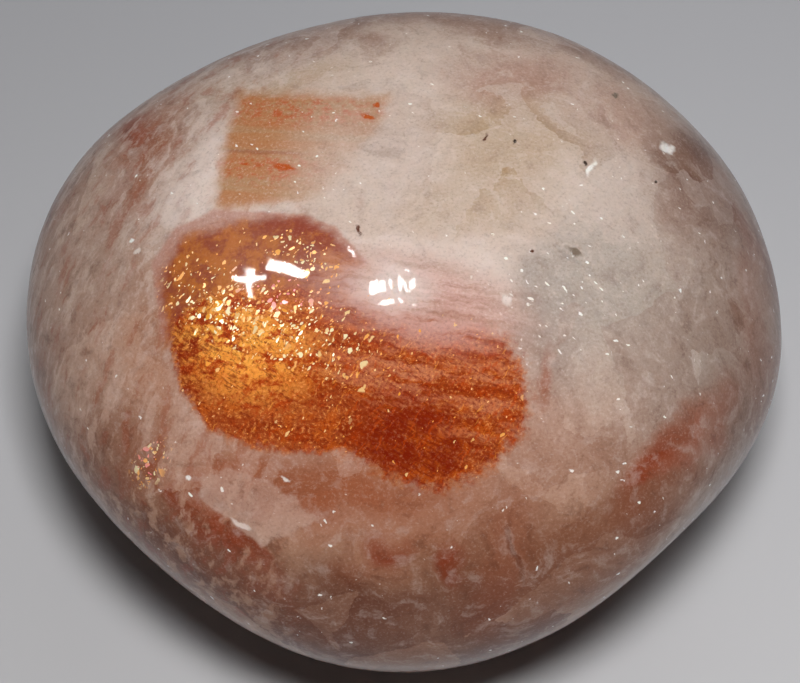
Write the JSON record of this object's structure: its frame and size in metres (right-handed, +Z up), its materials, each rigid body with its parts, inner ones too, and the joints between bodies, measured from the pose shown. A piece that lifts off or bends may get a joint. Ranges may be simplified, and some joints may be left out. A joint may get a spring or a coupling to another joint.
{
  "type": "tumbled sunstone",
  "caption": "Polished pebble of translucent sunstone feldspar with a glittering orange patch, resting on a small flat spot.",
  "frame": {"origin": "on the surface that the stone rests on, under the middle of its bounding box", "axes": "+Z up; +X along the stone's length, towards the right of the picture; -Y towards the blunt point at the front"},
  "size_m": [0.0306, 0.0282, 0.0217],
  "materials": {
    "polished_feldspar": "polished, milky and translucent, with an orange patch full of small shining plates"
  },
  "bodies": {
    "root": {"sunstone": "polished_feldspar"}
  },
  "joints": []
}
